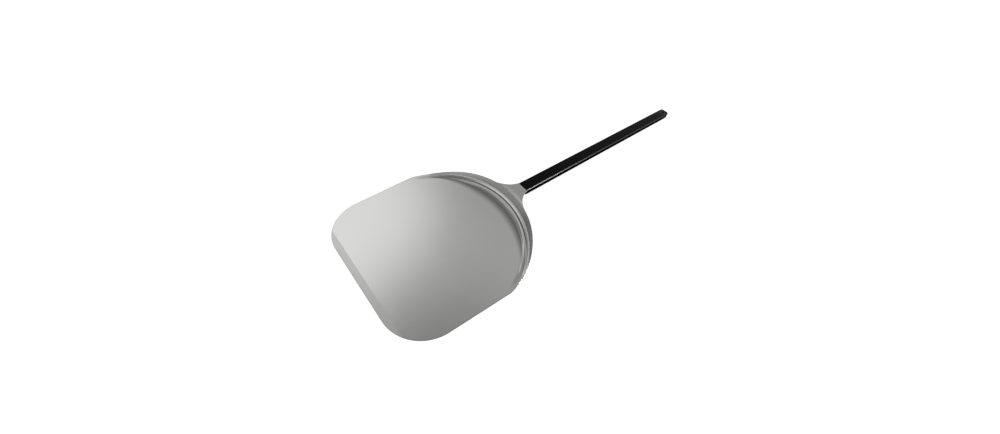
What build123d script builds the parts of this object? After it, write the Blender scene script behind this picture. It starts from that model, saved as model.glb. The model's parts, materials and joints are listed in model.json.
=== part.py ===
"""Pizza peel: a pressed sheet blade with a ribbed, upswept back rim on a rectangular tube handle.

Frame: millimetres, +Z up, +Y from the blade to the handle. The origin is the middle of the
flat underside of the blade, which is the face that the peel rests on.
"""
from math import atan2, cos, hypot, pi, radians, sin, sqrt, tan
import os

from build123d import *

# blade seen from above; lengths are counted from the front edge
front_width = 330.0
blade_width = 352.0
blade_length = 360.0
side_length = 210.0
corner_radius = 82.5
sheet = 1.8
rest_from_front = 160.0

# ground bevel on the upper side of the front edge
bevel_width = 13.0
bevel_lip = 0.5

# back of the blade, swept up behind a fold line that follows a circle
fold_inset = 31.0
fold_end = 31.0
ramp_length = 37.0
rim_rise = 21.0
neck_rise = 0.5
neck_length = 33.0
neck_radius = 51.0

# two ribs pressed up on either side of a groove line that stays inside the rim
groove_inset_back = 17.5
groove_inset_side = 2.0
ribs = ((-4.6, 3.6), (3.8, 2.7))  # offset from the groove line, half width
rib_height = 1.4
rib_wall = 1.5
rib_root = 0.4
rib_start = radians(25)
rib_fade = radians(14)
rib_end_share = 0.35  # of a rib's width, left at its ends
rib_sections = 19

# handle tube, a rectangular section with round edges
tube_width = 28.0
tube_height = 15.0
tube_edge = 2.5
tube_wall = 1.2
tube_length = 575.0
fit_gap = 0.1

# tang in the tube, clamped on a block by two screws from below into clinch nuts
tang_length = 62.0
screw_places = (18.0, 46.0)
screw_diameter = 4.0
screw_tip_inset = 1.7
screw_head = 7.6
screw_head_height = 2.2
screw_head_round = 1.5
screw_key = 2.5
screw_key_depth = 1.3
screw_gap = 0.25
nut_ring = 5.4
nut_body = 8.0
nut_body_height = 3.0

# end cap with the hanging hole, held by one blind rivet from below
cap_length = 32.0
cap_plug_length = 26.0
cap_corner = 10.0
cap_edge = 1.0
hang_hole = 9.0
hang_from_end = 13.0
rivet_diameter = 3.2
rivet_head = 6.5
rivet_head_height = 1.0
rivet_head_round = 0.8
rivet_length = 7.5
rivet_from_tube_end = 14.0


def circle_through(back_y, side_x, side_y):
    """Centre Y and radius of the circle through (0, back_y) and (+-side_x, side_y)."""
    rise = back_y - side_y
    radius = (side_x**2 + rise**2) / (2 * rise)
    return back_y - radius, radius


def smooth(share):
    """Smooth step from 0 to 1."""
    share = min(max(share, 0.0), 1.0)
    return share * share * (3 - 2 * share)


# places along Y
front_y = -rest_from_front
side_end = (blade_width / 2, front_y + side_length)
back_y = front_y + blade_length
mouth_y = back_y + neck_length
tang_end_y = mouth_y + tang_length
tube_end_y = mouth_y + tube_length
cap_end_y = tube_end_y + cap_length

# circles seen from above
rim_y, rim_radius = circle_through(back_y, *side_end)
fold_side_y = side_end[1] + fold_end
fold_side_x = sqrt(rim_radius**2 - (fold_side_y - rim_y) ** 2)
fold_y, fold_radius = circle_through(back_y - fold_inset, fold_side_x, fold_side_y)
groove_y, groove_radius = circle_through(
    back_y - groove_inset_back, side_end[0] - groove_inset_side, side_end[1]
)
ramp_end = fold_radius + ramp_length
neck_end = mouth_y - fold_y
neck_run = neck_end - ramp_end

# the underside's ramp lags behind the upper one, which keeps the sheet's wall even
ramp_angle = atan2(1.5 * rim_rise, ramp_length)
ramp_lag = sheet * tan(ramp_angle / 2)

# heights
tang_top = sheet + rim_rise + neck_rise
tang_under = tang_top - sheet
tube_top = tang_top + fit_gap + tube_wall
tube_under = tube_top - tube_height
tube_middle = (tube_top + tube_under) / 2
tube_floor = tube_under + tube_wall
screw_length = tang_top - screw_tip_inset - tube_under

# widths inside the tube
bore_width = tube_width - 2 * tube_wall
bore_height = tube_height - 2 * tube_wall
bore_edge = tube_edge - tube_wall
tang_width = bore_width - 2 * bore_edge


def top_height(x, y):
    """Height of the blade's upper face behind the fold line, without its ribs."""
    reach = hypot(x, y - fold_y)
    ramp = rim_rise * smooth((reach - fold_radius) / ramp_length)
    return sheet + ramp + neck_rise * smooth((reach - ramp_end) / neck_run)


def rib_plane(angle, radius):
    """Plane across a rib: X outward along the sheet's slope, Y away from the sheet."""
    outward = Vector(cos(angle), sin(angle), 0)
    middle = Vector(0, groove_y, 0) + outward * radius
    ahead = middle + outward
    base = top_height(middle.X, middle.Y)
    slope = top_height(ahead.X, ahead.Y) - base
    return Plane(
        origin=(middle.X, middle.Y, base),
        x_dir=outward + Vector(0, 0, slope),
        z_dir=(sin(angle), -cos(angle), 0),
    )


def across_tube(y):
    """Plane across the tube at y, looking along +Y, with its X along the tube's width."""
    return Plane(origin=(0, y, tube_middle), x_dir=(-1, 0, 0), z_dir=(0, 1, 0))


with BuildPart() as blade:
    # sheet turned about the middle of the fold circle
    with BuildSketch(Plane(origin=(0, fold_y, 0), x_dir=(0, 1, 0), z_dir=(1, 0, 0))):
        with BuildLine():
            faces = []
            for face_z, shift in ((sheet, 0.0), (0.0, ramp_lag)):
                ramp = Bezier(
                    (fold_radius + shift, face_z),
                    (fold_radius + shift + ramp_length / 3, face_z),
                    (ramp_end + shift - ramp_length / 3, face_z + rim_rise),
                    (ramp_end + shift, face_z + rim_rise),
                )
                neck = Bezier(
                    ramp @ 1,
                    (ramp_end + shift + neck_run / 3, face_z + rim_rise),
                    (neck_end - neck_run / 3, face_z + rim_rise + neck_rise),
                    (neck_end, face_z + rim_rise + neck_rise),
                )
                flat = Line((0, face_z), ramp @ 0)
                tang = Line(neck @ 1, (tang_end_y - fold_y, face_z + rim_rise + neck_rise))
                faces.append((flat @ 0, tang @ 1))
            Line(faces[0][0], faces[1][0])
            Line(faces[0][1], faces[1][1])
        make_face()
    revolve(axis=Axis((0, fold_y, 0), (0, 0, 1)))

    # outline seen from above
    with BuildSketch() as outline:
        with BuildLine():
            front = Line((-front_width / 2, front_y), (front_width / 2, front_y))
            Line(front @ 1, side_end)
            ThreePointArc(side_end, (0, back_y), (-side_end[0], side_end[1]))
            Line((-side_end[0], side_end[1]), front @ 0)
        make_face()
        fillet(outline.vertices().group_by(Axis.Y)[0], corner_radius)
        neck_reach = mouth_y + neck_radius
        with Locations((0, (rim_y + neck_reach) / 2)):
            Rectangle(tube_width, neck_reach - rim_y)
        rim_corners = outline.vertices().filter_by(
            lambda v: abs(abs(v.X) - tube_width / 2) < 0.01 and v.Y < mouth_y
        )
        fillet(rim_corners, neck_radius)
        with Locations((0, mouth_y + neck_radius)):
            Rectangle(blade_width, 2 * neck_radius, mode=Mode.SUBTRACT)
        with Locations((0, (rim_y + tang_end_y) / 2)):
            Rectangle(tang_width, tang_end_y - rim_y)
    extrude(amount=tube_top, mode=Mode.INTERSECT)

    # ribs raised on the upper face, and their hollows on the underside
    for rib_offset, half_width in ribs:
        for side, mode in ((1, Mode.ADD), (-1, Mode.SUBTRACT)):
            for step in range(rib_sections):
                along = step / (rib_sections - 1)
                angle = rib_start + (pi - 2 * rib_start) * along
                fade = smooth((angle - rib_start) / rib_fade)
                fade = min(fade, smooth((pi - rib_start - angle) / rib_fade))
                share = rib_end_share + (1 - rib_end_share) * fade
                with BuildSketch(rib_plane(angle, groove_radius + rib_offset)):
                    with BuildLine():
                        if side > 0:
                            foot = -rib_root
                            crest = foot / 2 + (rib_height - foot / 2) * fade
                            reach = half_width * share
                        else:
                            foot = -sheet - rib_root
                            crest = -sheet - rib_root / 2
                            crest += (rib_height - rib_wall - crest) * fade
                            reach = (half_width - rib_wall / 2) * share
                        arc = ThreePointArc((-reach, foot), (0, crest), (reach, foot))
                        Line(arc @ 1, arc @ 0)
                    make_face()
            loft(mode=mode)

    # ground bevel
    with BuildSketch(Plane.YZ):
        with BuildLine():
            Polyline(
                (front_y - bevel_width, sheet),
                (front_y + bevel_width, sheet),
                (front_y, bevel_lip),
                (front_y - bevel_width, bevel_lip),
                close=True,
            )
        make_face()
    extrude(amount=front_width / 2, both=True, mode=Mode.SUBTRACT)

    # holes for the clinch nuts
    with BuildSketch(Plane.XY.offset(tang_under)):
        with Locations([(0, mouth_y + place) for place in screw_places]):
            Circle(nut_ring / 2)
    extrude(amount=sheet, mode=Mode.SUBTRACT)

with BuildPart() as handle_tube:
    with BuildSketch(across_tube(mouth_y)):
        RectangleRounded(tube_width, tube_height, tube_edge)
        RectangleRounded(bore_width, bore_height, bore_edge, mode=Mode.SUBTRACT)
    extrude(amount=tube_length)
    with BuildSketch(Plane.XY.offset(tube_under)):
        with Locations([(0, mouth_y + place) for place in screw_places]):
            Circle(screw_diameter / 2 + screw_gap)
        with Locations((0, tube_end_y - rivet_from_tube_end)):
            Circle(rivet_diameter / 2)
    extrude(amount=tube_wall, mode=Mode.SUBTRACT)

with BuildPart() as tang_block:
    block_height = tang_under - tube_floor
    with BuildSketch(across_tube(mouth_y)):
        RectangleRounded(bore_width - 2 * fit_gap, bore_height - 2 * fit_gap, bore_edge)
    extrude(amount=tang_length)
    split(bisect_by=Plane.XY.offset(tang_under), keep=Keep.BOTTOM)
    with BuildSketch(Plane.XY.offset(tube_floor)):
        with Locations([(0, mouth_y + place) for place in screw_places]):
            Circle(screw_diameter / 2 + screw_gap)
    extrude(amount=block_height, mode=Mode.SUBTRACT)
    with BuildSketch(Plane.XY.offset(tang_under)):
        with Locations([(0, mouth_y + place) for place in screw_places]):
            Circle(nut_body / 2 + screw_gap)
    extrude(amount=-nut_body_height - screw_gap, mode=Mode.SUBTRACT)

with BuildPart() as clinch_nuts:
    with BuildSketch(Plane.XY.offset(tang_under)):
        with Locations([(0, mouth_y + place) for place in screw_places]):
            Circle(nut_ring / 2)
    extrude(amount=sheet)
    with BuildSketch(Plane.XY.offset(tang_under)):
        with Locations([(0, mouth_y + place) for place in screw_places]):
            Circle(nut_body / 2)
    extrude(amount=-nut_body_height)
    with BuildSketch(Plane.XY.offset(tang_under - nut_body_height)):
        with Locations([(0, mouth_y + place) for place in screw_places]):
            Circle(screw_diameter / 2)
    extrude(amount=nut_body_height + sheet, mode=Mode.SUBTRACT)

with BuildPart() as tang_screws:
    with BuildSketch(Plane.XY.offset(tube_under)):
        with Locations([(0, mouth_y + place) for place in screw_places]):
            Circle(screw_diameter / 2)
    extrude(amount=screw_length)
    with BuildSketch(Plane.XY.offset(tube_under)):
        with Locations([(0, mouth_y + place) for place in screw_places]):
            Circle(screw_head / 2)
    extrude(amount=-screw_head_height)
    head_rims = tang_screws.edges().filter_by(GeomType.CIRCLE).group_by(Axis.Z)[0]
    fillet(head_rims, screw_head_round)
    with BuildSketch(Plane.XY.offset(tube_under - screw_head_height)):
        with Locations([(0, mouth_y + place) for place in screw_places]):
            RegularPolygon(screw_key / 2, 6, major_radius=False)
    extrude(amount=screw_key_depth, mode=Mode.SUBTRACT)

with BuildPart() as end_cap:
    with BuildSketch(across_tube(tube_end_y - cap_plug_length)):
        RectangleRounded(bore_width - 2 * fit_gap, bore_height - 2 * fit_gap, bore_edge - fit_gap)
    extrude(amount=cap_plug_length)
    with BuildSketch(across_tube(tube_end_y)):
        RectangleRounded(tube_width, tube_height, tube_edge)
    extrude(amount=cap_length)
    with BuildSketch(Plane.XY.offset(tube_under)) as cap_outline:
        cap_start_y = tube_end_y - cap_plug_length
        with Locations((0, (cap_start_y + cap_end_y) / 2)):
            Rectangle(tube_width, cap_end_y - cap_start_y)
        fillet(cap_outline.vertices().group_by(Axis.Y)[-1], cap_corner)
    extrude(amount=tube_height, mode=Mode.INTERSECT)
    with BuildSketch(Plane.XY.offset(tube_under)):
        with Locations((0, cap_end_y - hang_from_end)):
            Circle(hang_hole / 2)
    extrude(amount=tube_height, mode=Mode.SUBTRACT)
    hole_rims = end_cap.edges().filter_by(GeomType.CIRCLE).filter_by(
        lambda e: abs(e.radius - hang_hole / 2) < 0.01
    )
    chamfer(hole_rims, cap_edge)
    with BuildSketch(Plane.XY.offset(tube_under)):
        with Locations((0, tube_end_y - rivet_from_tube_end)):
            Circle(rivet_diameter / 2)
    extrude(amount=rivet_length, mode=Mode.SUBTRACT)

with BuildPart() as cap_rivet:
    with BuildSketch(Plane.XY.offset(tube_under)):
        with Locations((0, tube_end_y - rivet_from_tube_end)):
            Circle(rivet_diameter / 2)
    extrude(amount=rivet_length)
    with BuildSketch(Plane.XY.offset(tube_under)):
        with Locations((0, tube_end_y - rivet_from_tube_end)):
            Circle(rivet_head / 2)
    extrude(amount=-rivet_head_height)
    head_rim = cap_rivet.edges().filter_by(GeomType.CIRCLE).group_by(Axis.Z)[0]
    fillet(head_rim, rivet_head_round)

blade.part.label = "blade"
handle_tube.part.label = "handle_tube"
tang_block.part.label = "tang_block"
clinch_nuts.part.label = "clinch_nuts"
tang_screws.part.label = "tang_screws"
end_cap.part.label = "end_cap"
cap_rivet.part.label = "cap_rivet"

os.makedirs("parts", exist_ok=True)
export_step(blade.part, "parts/blade.step")
export_step(handle_tube.part, "parts/handle_tube.step")
export_step(tang_block.part, "parts/tang_block.step")
export_step(clinch_nuts.part, "parts/clinch_nuts.step")
export_step(tang_screws.part, "parts/tang_screws.step")
export_step(end_cap.part, "parts/end_cap.step")
export_step(cap_rivet.part, "parts/cap_rivet.step")
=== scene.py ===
import json
from math import asin, atan2, cos, hypot, pi, radians, sin, sqrt, tan

import bmesh
import bpy
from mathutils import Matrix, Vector

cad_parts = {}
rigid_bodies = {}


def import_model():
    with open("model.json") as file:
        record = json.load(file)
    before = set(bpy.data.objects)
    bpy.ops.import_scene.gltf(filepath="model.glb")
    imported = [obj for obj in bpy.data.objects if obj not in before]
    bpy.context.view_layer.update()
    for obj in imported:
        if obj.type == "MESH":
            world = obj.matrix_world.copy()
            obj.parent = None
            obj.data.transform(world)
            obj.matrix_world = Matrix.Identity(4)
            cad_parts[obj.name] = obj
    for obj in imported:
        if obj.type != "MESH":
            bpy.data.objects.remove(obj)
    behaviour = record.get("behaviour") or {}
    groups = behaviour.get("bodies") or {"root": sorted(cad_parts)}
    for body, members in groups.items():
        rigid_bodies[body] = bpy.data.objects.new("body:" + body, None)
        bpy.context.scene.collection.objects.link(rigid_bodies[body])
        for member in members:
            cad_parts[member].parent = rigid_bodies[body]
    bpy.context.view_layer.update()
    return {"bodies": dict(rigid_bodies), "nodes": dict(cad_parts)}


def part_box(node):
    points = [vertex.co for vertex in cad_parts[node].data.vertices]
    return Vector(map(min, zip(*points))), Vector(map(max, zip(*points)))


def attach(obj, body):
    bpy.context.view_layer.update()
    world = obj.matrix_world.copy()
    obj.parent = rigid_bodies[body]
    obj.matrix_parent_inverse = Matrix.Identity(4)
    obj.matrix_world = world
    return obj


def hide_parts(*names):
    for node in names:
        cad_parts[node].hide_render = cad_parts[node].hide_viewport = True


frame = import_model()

MM = 0.001
BODY = next(iter(frame["bodies"]))

# ---------------------------------------------------------------- sizes, in millimetres
# blade seen from above; its front edge and the tang's end come from the frame
BLADE_LOW, BLADE_HIGH = (Vector(corner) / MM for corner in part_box("blade"))
TUBE_LOW, TUBE_HIGH = (Vector(corner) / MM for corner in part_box("handle_tube"))
FRONT_Y = BLADE_LOW.y
TANG_END_Y = BLADE_HIGH.y
MOUTH_Y = TUBE_LOW.y
HALF_WIDTH = BLADE_HIGH.x
FRONT_HALF_WIDTH = 165.0
SIDE_LENGTH = 210.0
BLADE_LENGTH = 360.0
CORNER_RADIUS = 82.5
NECK_RADIUS = 51.0
TUBE_HALF_WIDTH = TUBE_HIGH.x
TUBE_EDGE = 2.5
TANG_HALF_WIDTH = TUBE_HALF_WIDTH - TUBE_EDGE
SHEET = 1.8
BEVEL_WIDTH = 13.0
BEVEL_LIP = 0.5
EDGE_ROUND = 0.35

FOLD_INSET = 31.0
FOLD_END = 31.0
RAMP_LENGTH = 37.0
RIM_RISE = 21.0
NECK_RISE = BLADE_HIGH.z - SHEET - RIM_RISE
GROOVE_INSET_BACK = 17.5
GROOVE_INSET_SIDE = 2.0
RIBS = ((-4.6, 3.6), (3.8, 2.7))
RIB_HEIGHT = 1.4
RIB_START = radians(25)
RIB_FADE = radians(14)
RIB_END_SHARE = 0.35

# bands of painted shade that darken the sheet's colour around the ribs: start, full, fade and end,
# in millimetres past the groove line, or in degrees of turn from the sides (0) to the back (90)
GROOVE_SHADE = (-2.4, -0.3, 0.2, 2.2)
FOOT_SHADE = (5.0, 7.0, 7.4, 10.0)
RIB_END_SHADE = (-9.5, -6.5, -2.5, -0.5)
RIB_END_SHADE_TURN = (16, 24, 36, 52)
# the band of painted shade on the ramp before the ribs: where it ends, the turn where it begins,
# its width at the sides and what that gains, in millimetres, and the turn over which it gains it
RAMP_SHADE_END = (-9.0, -6.0)
RAMP_SHADE_TURN = (14, 38)
RAMP_SHADE_REACH = (9.0, 12.0)
RAMP_SHADE_REACH_TURN = (25, 80)


def circle_through(back_y, side_x, side_y):
    """Centre Y and radius of the circle through (0, back_y) and (+-side_x, side_y)."""
    rise = back_y - side_y
    radius = (side_x**2 + rise**2) / (2 * rise)
    return back_y - radius, radius


BACK_Y = FRONT_Y + BLADE_LENGTH
SIDE_END_Y = FRONT_Y + SIDE_LENGTH
RIM_Y, RIM_RADIUS = circle_through(BACK_Y, HALF_WIDTH, SIDE_END_Y)
FOLD_SIDE_Y = SIDE_END_Y + FOLD_END
FOLD_SIDE_X = sqrt(RIM_RADIUS**2 - (FOLD_SIDE_Y - RIM_Y) ** 2)
FOLD_Y, FOLD_RADIUS = circle_through(BACK_Y - FOLD_INSET, FOLD_SIDE_X, FOLD_SIDE_Y)
GROOVE_Y, GROOVE_RADIUS = circle_through(
    BACK_Y - GROOVE_INSET_BACK, HALF_WIDTH - GROOVE_INSET_SIDE, SIDE_END_Y
)
RAMP_LAG = SHEET * tan(atan2(1.5 * RIM_RISE, RAMP_LENGTH) / 2)


# ---------------------------------------------------------------- node expressions
class Value:
    """A number socket that builds Math nodes when it is used in an expression."""

    def __init__(self, tree, socket):
        self.tree = tree
        self.socket = socket

    def math(self, operation, *others, clamp=False):
        node = self.tree.add("ShaderNodeMath", {"operation": operation, "use_clamp": clamp})
        for place, value in enumerate((self, *others)):
            self.tree.feed(node.inputs[place], value)
        return Value(self.tree, node.outputs[0])

    def __add__(self, other):
        return self.math("ADD", other)

    def __sub__(self, other):
        return self.math("SUBTRACT", other)

    def __mul__(self, other):
        return self.math("MULTIPLY", other)

    def __truediv__(self, other):
        return self.math("DIVIDE", other)

    def __rsub__(self, other):
        return (self * -1).math("ADD", other)

    __radd__ = __add__
    __rmul__ = __mul__

    def clamp(self):
        return self.math("ADD", 0.0, clamp=True)

    def smooth(self):
        """Smooth step from 0 to 1 as the value goes from 0 to 1."""
        share = self.clamp()
        return share * share * (3 - 2 * share)

    def window(self, low, high):
        """0 up to low and 1 from high, with a smooth step between."""
        return ((self - low) / (high - low)).smooth()

    def band(self, start, full, fade, end):
        """1 from full to fade and 0 beyond start and end, with smooth steps between."""
        return self.window(start, full) * (1 - self.window(fade, end))


class Tree:
    """A node tree with one method for every kind of node."""

    def __init__(self, nodes, links):
        self.nodes = nodes
        self.links = links

    def feed(self, socket, value):
        if isinstance(value, Value):
            self.links.new(value.socket, socket)
        elif isinstance(value, bpy.types.NodeSocket):
            self.links.new(value, socket)
        else:
            socket.default_value = value

    def add(self, kind, settings=None, **sockets):
        node = self.nodes.new(kind)
        for name, value in (settings or {}).items():
            setattr(node, name, value)
        for name, value in sockets.items():
            self.feed(node.inputs[name.replace("_", " ")], value)
        return node

    def value(self, node, output=0):
        return Value(self, node.outputs[output])


# ---------------------------------------------------------------- materials
def material(name, base, roughness, metallic=0.0, **sockets):
    """A new material with its Principled shader's plain sockets set."""
    made = bpy.data.materials.new(name)
    made.use_nodes = True
    tree = Tree(made.node_tree.nodes, made.node_tree.links)
    shader = made.node_tree.nodes["Principled BSDF"]
    shader.inputs["Base Color"].default_value = (*base, 1.0)
    shader.inputs["Roughness"].default_value = roughness
    shader.inputs["Metallic"].default_value = metallic
    for socket, value in sockets.items():
        shader.inputs[socket.replace("_", " ")].default_value = value
    made.diffuse_color = (*base, 1.0)
    return made, tree, shader


def object_place(tree, scale=(1.0, 1.0, 1.0)):
    """Object coordinates, stretched by scale."""
    coordinates = tree.add("ShaderNodeTexCoord").outputs["Object"]
    return tree.add("ShaderNodeMapping", None, Vector=coordinates, Scale=scale).outputs[0]


def noise(tree, scale, detail, place):
    """Noise from 0 to 1 at a place, in cycles per metre."""
    node = tree.add("ShaderNodeTexNoise", None, Vector=place, Scale=scale, Detail=detail)
    return tree.value(node, "Fac")


def tint(tree, factor, low, high):
    """Colour that goes from low to high with the factor."""
    node = tree.add("ShaderNodeMix", {"data_type": "RGBA"})
    tree.feed(node.inputs[0], factor)
    for socket, colour in ((node.inputs[6], low), (node.inputs[7], high)):
        tree.feed(socket, (*colour, 1.0) if isinstance(colour, tuple) else colour)
    return node.outputs[2]


def painted_press_shade(x, y):
    """Painted shade, from 0 to 1, that darkens the sheet's colour before and along the ribs and on
    the neck.
    """

    def past(centre_y, radius):
        rise = y - centre_y * MM
        return ((x * x + rise * rise).math("SQRT") / MM) - radius

    past_fold = past(FOLD_Y, FOLD_RADIUS)
    past_groove = past(GROOVE_Y, GROOVE_RADIUS)
    turn = (y - GROOVE_Y * MM).math("ARCTAN2", x.math("ABSOLUTE"))
    length = turn.window(*map(radians, RAMP_SHADE_TURN))
    nearest, growth = RAMP_SHADE_REACH
    reach = nearest + growth * turn.window(*map(radians, RAMP_SHADE_REACH_TURN))
    # all of this is painted shade: the ramp before the ribs, the groove, the outer rib foot and
    # the inner side of the rib ends are darkened as shade, and the neck is darkened to hold back
    # its light
    drawn = (1 + past_fold / reach).smooth() * (1 - past_groove.window(*RAMP_SHADE_END))
    groove = past_groove.band(*GROOVE_SHADE)
    foot = past_groove.band(*FOOT_SHADE)
    rib_end = turn.band(*map(radians, RIB_END_SHADE_TURN)) * past_groove.band(*RIB_END_SHADE)
    neck = y.band((BACK_Y - 10) * MM, BACK_Y * MM, (MOUTH_Y - 7) * MM, (MOUTH_Y - 2) * MM)
    along = (drawn * 0.95 + groove * 0.8 + foot * 0.3) * length
    return along + rib_end * 0.4 + neck * 0.22


def satin_aluminium():
    """Rolled sheet: a soft even sheen, fine rolling lines along Y, a ground front bevel, and
    painted shade that darkens its colour around the ribs and on the neck.
    """
    made, tree, shader = material("satin_aluminium", (0.64, 0.64, 0.63), 0.3, 1.0)
    plain = object_place(tree)
    x, y, z = (
        tree.value(tree.add("ShaderNodeSeparateXYZ", None, Vector=plain), axis) for axis in "XYZ"
    )
    rolling = noise(tree, 900.0, 4.0, object_place(tree, (1.0, 0.012, 1.0)))
    clouds = noise(tree, 14.0, 3.0, plain)
    grinding = noise(tree, 2600.0, 3.0, object_place(tree, (1.0, 0.03, 1.0)))
    bevel_end = (FRONT_Y + BEVEL_WIDTH) * MM
    ground = 1 - y.window(bevel_end - 0.0006, bevel_end)
    neck = y.window((BACK_Y - 24) * MM, (BACK_Y - 6) * MM)
    worked = ground * (grinding * 0.1 + 0.02) + neck * 0.1
    tree.feed(shader.inputs["Roughness"], 0.215 + rolling * 0.03 + clouds * 0.03 + worked)
    shade = clouds * 0.55 + rolling * 0.45 - ground * 0.15
    sheet = tint(tree, shade.clamp(), (0.6, 0.6, 0.592), (0.68, 0.68, 0.672))
    # painted shade: the colour is mixed toward dark grey around the ribs and on the neck
    colour = tint(tree, painted_press_shade(x, y), sheet, (0.2, 0.2, 0.2))
    tree.feed(shader.inputs["Base Color"], colour)
    height = rolling * 0.55 + ground * grinding * 0.9
    bump = tree.add("ShaderNodeBump", None, Strength=0.06, Distance=0.00002, Height=height)
    tree.feed(shader.inputs["Normal"], bump.outputs[0])
    return made


def black_anodised():
    """Black coated tube: near black, with a drawn grain along it and glossier long edges."""
    sockets = {"Specular_IOR_Level": 0.09, "Coat_Roughness": 0.3, "Coat_IOR": 1.8}
    made, tree, shader = material("black_anodised", (0.001, 0.0009, 0.0009), 0.26, **sockets)
    drawn = noise(tree, 1400.0, 3.0, object_place(tree, (1.0, 0.01, 1.0)))
    plain = object_place(tree)
    clouds = noise(tree, 30.0, 2.0, plain)
    split = tree.add("ShaderNodeSeparateXYZ", None, Vector=plain)
    middle = (TUBE_LOW + TUBE_HIGH) / 2
    half = (TUBE_HIGH - TUBE_LOW) / 2
    edge = 1.0
    for axis, place in (("X", 0), ("Z", 2)):
        out = (tree.value(split, axis) / MM - middle[place]).math("ABSOLUTE")
        flat = half[place] - TUBE_EDGE
        edge = out.window(flat, flat + 0.6) * edge
    tree.feed(shader.inputs["Coat Weight"], edge)
    tree.feed(shader.inputs["Roughness"], 0.22 + drawn * 0.05 + clouds * 0.05)
    colour = tint(tree, clouds, (0.0006, 0.0005, 0.0005), (0.0014, 0.0012, 0.0012))
    tree.feed(shader.inputs["Base Color"], colour)
    bump = tree.add("ShaderNodeBump", None, Strength=0.05, Distance=0.00002, Height=drawn)
    tree.feed(shader.inputs["Normal"], bump.outputs[0])
    return made


def moulded_black(name, base):
    """Moulded black plastic with a fine spark-eroded grain."""
    made, tree, shader = material(name, base, 0.5, Specular_IOR_Level=0.35)
    grain = noise(tree, 2400.0, 2.0, object_place(tree))
    clouds = noise(tree, 60.0, 2.0, object_place(tree))
    tree.feed(shader.inputs["Roughness"], 0.46 + grain * 0.08 + clouds * 0.05)
    low = tuple(channel * 0.8 for channel in base)
    high = tuple(channel * 1.3 for channel in base)
    tree.feed(shader.inputs["Base Color"], tint(tree, clouds, low, high))
    bump = tree.add("ShaderNodeBump", None, Strength=0.15, Distance=0.00005, Height=grain)
    tree.feed(shader.inputs["Normal"], bump.outputs[0])
    return made


def plated_metal(name, low, high, roughness):
    """Bright plated or bare metal of a small fastener, slightly uneven."""
    made, tree, shader = material(name, high, roughness, 1.0)
    clouds = noise(tree, 500.0, 3.0, object_place(tree))
    tree.feed(shader.inputs["Roughness"], roughness + clouds * 0.12)
    tree.feed(shader.inputs["Base Color"], tint(tree, clouds, low, high))
    return made


# ---------------------------------------------------------------- blade
def arc(centre, radius, start, end, step):
    """Points on an arc, both ends included, no further apart than step."""
    count = max(2, round(abs(end - start) * radius / step))
    for place in range(count + 1):
        angle = start + (end - start) * place / count
        yield centre[0] + radius * cos(angle), centre[1] + radius * sin(angle)


def line(start, end, step):
    """Points on a straight line, both ends included, no further apart than step."""
    count = max(1, round(hypot(end[0] - start[0], end[1] - start[1]) / step))
    for place in range(count + 1):
        share = place / count
        yield start[0] + (end[0] - start[0]) * share, start[1] + (end[1] - start[1]) * share


def half_outline():
    """Outline of the right half, from the middle of the front edge round to the tang's end."""
    flare = atan2(HALF_WIDTH - FRONT_HALF_WIDTH, SIDE_LENGTH)
    corner_x = FRONT_HALF_WIDTH + CORNER_RADIUS * (tan(flare) - 1 / cos(flare))
    corner = (corner_x, FRONT_Y + CORNER_RADIUS)
    corner_end = (corner_x + CORNER_RADIUS * cos(-flare), corner[1] + CORNER_RADIUS * sin(-flare))
    neck_x = TUBE_HALF_WIDTH + NECK_RADIUS
    neck_y = RIM_Y + sqrt((RIM_RADIUS + NECK_RADIUS) ** 2 - neck_x**2)
    neck_turn = atan2(neck_y - RIM_Y, neck_x)
    neck_stop = pi + asin((neck_y - MOUTH_Y) / NECK_RADIUS)
    stretches = (
        line((0.0, FRONT_Y), (corner_x, FRONT_Y), 6.0),
        arc(corner, CORNER_RADIUS, -pi / 2, -flare, 2.5),
        line(corner_end, (HALF_WIDTH, SIDE_END_Y), 4.0),
        arc((0, RIM_Y), RIM_RADIUS, asin((SIDE_END_Y - RIM_Y) / RIM_RADIUS), neck_turn, 2.0),
        arc((neck_x, neck_y), NECK_RADIUS, neck_turn + pi, neck_stop, 1.5),
        line((neck_x + NECK_RADIUS * cos(neck_stop), MOUTH_Y), (TANG_HALF_WIDTH, MOUTH_Y), 1.0),
        line((TANG_HALF_WIDTH, MOUTH_Y), (TANG_HALF_WIDTH, TANG_END_Y), 8.0),
        line((TANG_HALF_WIDTH, TANG_END_Y), (0.0, TANG_END_Y), 1.5),
    )
    points = []
    for stretch in stretches:
        for point in stretch:
            if not points or hypot(point[0] - points[-1][0], point[1] - points[-1][1]) > 0.01:
                points.append(point)
    return points


def ring_reaches(reach, mouth_reach):
    """Distances from the groove's centre of the rings across the sheet, for one outline point."""
    groove = min(GROOVE_RADIUS, reach - 4.0)
    rings = [groove * share for share in (0.2, 0.4, 0.55, 0.66)]
    insets = (50, 42, 35, 29, 24, 20.5, 18, 16, 14.3, 12.8, 11.5, 10.4)
    rings += [groove - inset for inset in insets]
    inner = 9.6
    inner_rows = 17
    rings += [groove - inner * (1 - row / inner_rows) for row in range(inner_rows)]
    outer = min(8.2, (reach - groove) * 0.7)
    outer_rows = 15
    rings += [groove + outer * row / outer_rows for row in range(outer_rows)]
    start = groove + outer
    last = reach - EDGE_ROUND
    turn = min(last, mouth_reach) - 1.0
    crowding = 1 + min(1.0, max(0.0, (turn - start - 8.0) / 20.0))
    flange_rows = 16
    shares = [(row / flange_rows) ** crowding for row in range(flange_rows)]
    rings += [start + (turn - start) * share for share in shares]
    tang_rows = 5
    rings += [turn + (last - turn) * row / tang_rows for row in range(tang_rows + 1)]
    return rings


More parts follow.
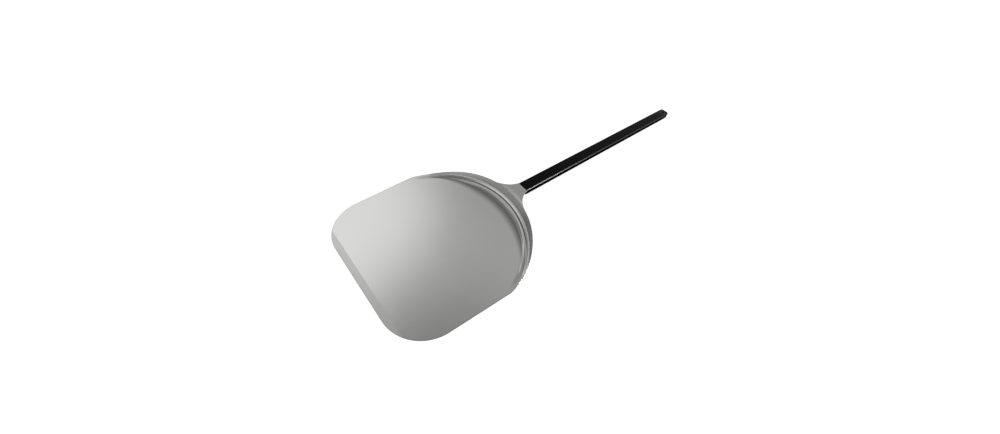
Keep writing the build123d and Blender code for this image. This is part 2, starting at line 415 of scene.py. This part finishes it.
def flat_shell():
    """Closed flat shell over the outline; its height of 0 or 1 tells the sheet's faces apart."""
    right = half_outline()
    outline = right + [(-x, y) for x, y in reversed(right[1:-1])]
    edge = ((EDGE_ROUND * 0.35, 0.93), (0.0, 0.8), (0.0, 0.2), (EDGE_ROUND * 0.35, 0.07))
    mesh = bmesh.new()
    columns = []
    for x, y in outline:
        reach = hypot(x, y - GROOVE_Y)
        along = (x / reach, (y - GROOVE_Y) / reach)
        mouth_reach = (MOUTH_Y - GROOVE_Y) / max(along[1], 0.1)
        rings = ring_reaches(reach, mouth_reach)
        profile = [(ring, 1.0) for ring in rings]
        profile += [(reach - inset, share) for inset, share in edge]
        profile += [(ring, 0.0) for ring in reversed(rings)]
        places = [(along[0] * ring, GROOVE_Y + along[1] * ring, share) for ring, share in profile]
        columns.append([mesh.verts.new(place) for place in places])
    middles = [mesh.verts.new((0, GROOVE_Y, share)) for share in (1.0, 0.0)]
    for here, there in zip(columns, columns[1:] + columns[:1]):
        mesh.faces.new((middles[0], here[0], there[0]))
        mesh.faces.new((middles[1], there[-1], here[-1]))
        for row in range(len(here) - 1):
            mesh.faces.new((here[row], here[row + 1], there[row + 1], there[row]))
    bevel_line = (0, FRONT_Y + BEVEL_WIDTH, 0)
    parts = mesh.verts[:] + mesh.edges[:] + mesh.faces[:]
    bmesh.ops.bisect_plane(
        mesh, geom=parts, dist=1e-4, plane_co=bevel_line, plane_no=(0, 1, 0)
    )
    bmesh.ops.scale(mesh, vec=(MM, MM, 1.0), verts=mesh.verts)
    return mesh


def press_tree(finish):
    """Geometry Nodes that press the flat shell: ramp, neck, two ribs, bevel and wall thickness."""
    group = bpy.data.node_groups.new("press_blade", "GeometryNodeTree")
    sizes = {
        "Fold Y": FOLD_Y,
        "Fold Radius": FOLD_RADIUS,
        "Ramp Length": RAMP_LENGTH,
        "Ramp Lag": RAMP_LAG,
        "Rim Rise": RIM_RISE,
        "Neck Reach": MOUTH_Y - FOLD_Y,
        "Neck Rise": NECK_RISE,
        "Groove Y": GROOVE_Y,
        "Groove Radius": GROOVE_RADIUS,
        "Rib Height": RIB_HEIGHT,
        "Sheet": SHEET,
        "Front Y": FRONT_Y,
        "Bevel Width": BEVEL_WIDTH,
        "Bevel Lip": BEVEL_LIP,
    }
    new_socket = group.interface.new_socket
    new_socket("Geometry", in_out="INPUT", socket_type="NodeSocketGeometry")
    new_socket("Geometry", in_out="OUTPUT", socket_type="NodeSocketGeometry")
    for name in sizes:
        new_socket(name, in_out="INPUT", socket_type="NodeSocketFloat")
    tree = Tree(group.nodes, group.links)
    given = tree.add("NodeGroupInput")
    size = {name: tree.value(given, name) for name in sizes}
    place = tree.add("GeometryNodeInputPosition").outputs[0]
    x, y, face = (
        tree.value(tree.add("ShaderNodeSeparateXYZ", None, Vector=place), axis) for axis in "XYZ"
    )

    def distance(centre_y):
        rise = y - centre_y
        return (x * x + rise * rise).math("SQRT")

    past_fold = distance(size["Fold Y"]) - size["Fold Radius"]
    lag = size["Ramp Lag"] * (1 - face)
    ramp = ((past_fold - lag) / size["Ramp Length"]).smooth() * size["Rim Rise"]
    past_ramp = past_fold - size["Ramp Length"] - lag
    neck_run = size["Neck Reach"] - size["Fold Radius"] - size["Ramp Length"] - lag
    neck = (past_ramp / neck_run).smooth() * size["Neck Rise"]

    past_groove = distance(size["Groove Y"]) - size["Groove Radius"]
    turn = (y - size["Groove Y"]).math("ARCTAN2", x.math("ABSOLUTE"))
    fade = turn.window(RIB_START, RIB_START + RIB_FADE)
    ribs = 0.0
    narrowing = fade * (1 - RIB_END_SHARE) + RIB_END_SHARE
    for offset, half_width in RIBS:
        share = (past_groove - offset * MM) / (narrowing * half_width * MM)
        share = share.math("ABSOLUTE").clamp()
        ribs = ribs + (1 - share.smooth())
    ribs = ribs * size["Rib Height"] * fade

    bevel = (1 - (y - size["Front Y"]) / size["Bevel Width"]).clamp()
    wall = size["Sheet"] - bevel * (size["Sheet"] - size["Bevel Lip"])
    height = ramp + neck + ribs + wall * face

    pressed = tree.add("ShaderNodeCombineXYZ", None, X=x, Y=y, Z=height)
    moved = tree.add(
        "GeometryNodeSetPosition", None, Geometry=given.outputs[0], Position=pressed.outputs[0]
    )
    whole = tree.add("GeometryNodeRealizeInstances", None, Geometry=moved.outputs[0])
    coated = tree.add(
        "GeometryNodeSetMaterial", None, Geometry=whole.outputs[0], Material=finish
    )
    tree.feed(tree.add("NodeGroupOutput").inputs[0], coated.outputs[0])
    return group, sizes


def plain_mesh(obj, name):
    """Turns an object's evaluated form into its own plain mesh, without modifiers."""
    evaluated = obj.evaluated_get(bpy.context.evaluated_depsgraph_get())
    mesh = bpy.data.meshes.new_from_object(evaluated)
    mesh.name = name
    obj.modifiers.clear()
    obj.data = mesh


def new_object(name, mesh):
    """Links a new object with the given bmesh as its shape."""
    data = bpy.data.meshes.new(name)
    mesh.to_mesh(data)
    mesh.free()
    obj = bpy.data.objects.new(name, data)
    bpy.context.scene.collection.objects.link(obj)
    return obj


def make_blade(finish):
    """The pressed sheet, in the place of the CAD blade."""
    blade = new_object("blade_sheet", flat_shell())
    group, sizes = press_tree(finish)
    pressing = blade.modifiers.new("press", "NODES")
    pressing.node_group = group
    for item in group.interface.items_tree:
        if item.in_out == "INPUT" and item.name in sizes:
            pressing[item.identifier] = sizes[item.name] * MM
    plain_mesh(blade, "blade_sheet")
    blade.data.shade_smooth()
    shape = bmesh.new()
    shape.from_mesh(blade.data)
    bevel_end = (FRONT_Y + BEVEL_WIDTH) * MM
    for edge in shape.edges:
        on_bevel_end = all(
            abs(v.co.y - bevel_end) < 1e-6 and v.co.z > 0.7 * SHEET * MM for v in edge.verts
        )
        edge.smooth = not on_bevel_end
    bmesh.ops.recalc_face_normals(shape, faces=shape.faces)
    shape.to_mesh(blade.data)
    shape.free()
    return blade


def refine(node, finish, bevel=0.0, sharp=radians(32)):
    """A smooth copy of a CAD node, with a small round on its sharp edges."""
    shape = bmesh.new()
    shape.from_mesh(frame["nodes"][node].data)
    bmesh.ops.remove_doubles(shape, verts=shape.verts, dist=1e-6)
    bmesh.ops.dissolve_limit(
        shape, angle_limit=radians(0.5), verts=shape.verts, edges=shape.edges
    )
    for face in shape.faces:
        face.smooth = True
    for edge in shape.edges:
        edge.smooth = len(edge.link_faces) != 2 or edge.calc_face_angle() < sharp
    copy = new_object(node + "_finished", shape)
    copy.data.materials.clear()
    copy.data.materials.append(finish)
    if bevel:
        rounding = copy.modifiers.new("round", "BEVEL")
        rounding.width = bevel * MM
        rounding.segments = 2
        rounding.limit_method = "ANGLE"
        rounding.angle_limit = sharp
        plain_mesh(copy, copy.name)
    return copy


satin = satin_aluminium()
anodised = black_anodised()
nylon = moulded_black("black_nylon", (0.012, 0.012, 0.012))
cap_plastic = moulded_black("black_plastic", (0.009, 0.009, 0.009))
zinc = plated_metal("zinc_steel", (0.42, 0.42, 0.43), (0.6, 0.6, 0.62), 0.3)
rivet_metal = plated_metal("rivet_aluminium", (0.5, 0.5, 0.5), (0.66, 0.66, 0.66), 0.35)

blade = make_blade(satin)
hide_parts("blade")
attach(blade, BODY)

FINISHES = (
    ("handle_tube", anodised, "black_anodised", 0.15),
    ("tang_block", nylon, "black_nylon", 0.25),
    ("clinch_nuts", zinc, "zinc_steel", 0.1),
    ("tang_screws", zinc, "zinc_steel", 0.08),
    ("end_cap", cap_plastic, "black_plastic", 0.4),
    ("cap_rivet", rivet_metal, "rivet_aluminium", 0.05),
)
for node, finish, slot, bevel in FINISHES:
    piece = refine(node, finish, bevel)
    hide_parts(node)
    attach(piece, BODY)


# ---------------------------------------------------------------- floor, light and camera
# soft panels: turn from +Y toward +X and rise, inner and outer angle of the soft edge, power
STUDIO_PANELS = (
    (-80, 45.5, 9.5, 19.5, 0.8),
    (4, 38, 25, 75, 0.2),
    (-159, 2, 14, 41, 0.7),
    (60, 42, 3, 15, 0.07),
    (-81, 84, 7, 31, -0.34),
    (-101, 61, 4, 15, 0.42),
    (165, 62, 5, 24, 0.2),
)


def make_floor():
    """Plain pale floor."""
    size = 6.0
    mesh = bmesh.new()
    bmesh.ops.create_grid(mesh, x_segments=1, y_segments=1, size=size)
    floor = new_object("floor", mesh)
    made, tree, shader = material("pale_floor", (0.93, 0.93, 0.93), 0.9, Specular_IOR_Level=0.0)
    shader.inputs["Emission Color"].default_value = (1.0, 1.0, 1.0, 1.0)
    shader.inputs["Emission Strength"].default_value = 0.75
    floor.data.materials.append(made)
    floor.visible_glossy = False


def make_studio():
    """Soft studio: a broad soft window at the left, a dim ceiling and a pale far wall."""
    world = bpy.data.worlds.new("studio")
    bpy.context.scene.world = world
    world.use_nodes = True
    tree = Tree(world.node_tree.nodes, world.node_tree.links)
    direction = tree.add("ShaderNodeTexCoord").outputs["Generated"]
    x, y, z = (
        tree.value(tree.add("ShaderNodeSeparateXYZ", None, Vector=direction), axis)
        for axis in "XYZ"
    )
    strength = 0.38 * z.window(-0.1, 0.1) - 0.3 * z.window(0.25, 0.55) + 0.32 * z.window(0.4, 0.96)
    for turn, rise, inner, outer, power in STUDIO_PANELS:
        side = Vector((sin(radians(turn)), cos(radians(turn)))) * cos(radians(rise))
        toward = x * side.x + y * side.y + z * sin(radians(rise))
        panel = toward.window(cos(radians(outer)), cos(radians(inner)))
        strength = strength + panel * power
    background = world.node_tree.nodes["Background"]
    seen = tree.value(tree.add("ShaderNodeLightPath"), "Is Camera Ray")
    tree.feed(background.inputs["Strength"], strength * (1 - seen) + seen)
    background.inputs["Color"].default_value = (1.0, 1.0, 0.99, 1.0)


def make_strip_light():
    """Low soft lamp at the right, behind the neck, that draws the tube's long edge."""
    lamp = bpy.data.lights.new("side_strip", "AREA")
    lamp.shape = "RECTANGLE"
    lamp.size = 0.25
    lamp.size_y = 0.2
    lamp.energy = 5.0
    strip = bpy.data.objects.new("side_strip", lamp)
    bpy.context.scene.collection.objects.link(strip)
    strip.location = (0.72, 0.8, 0.15)
    aim = Vector((0.0, 0.3, 0.02)) - strip.location
    strip.rotation_euler = aim.to_track_quat("-Z", "Y").to_euler()


def make_camera():
    """Camera in front of the right corner, looking down on the blade."""
    lens = bpy.data.cameras.new("camera")
    lens.sensor_width = 36.0
    lens.lens = 12.506
    lens.clip_start = 0.01
    camera = bpy.data.objects.new("camera", lens)
    bpy.context.scene.collection.objects.link(camera)
    camera.location = (0.34349, -0.21756, 0.56839)
    camera.rotation_euler = (radians(39.8373), radians(-7.5491), radians(49.9965))
    bpy.context.scene.camera = camera


make_floor()
make_studio()
make_strip_light()
make_camera()
bpy.context.scene.view_settings.view_transform = "Standard"
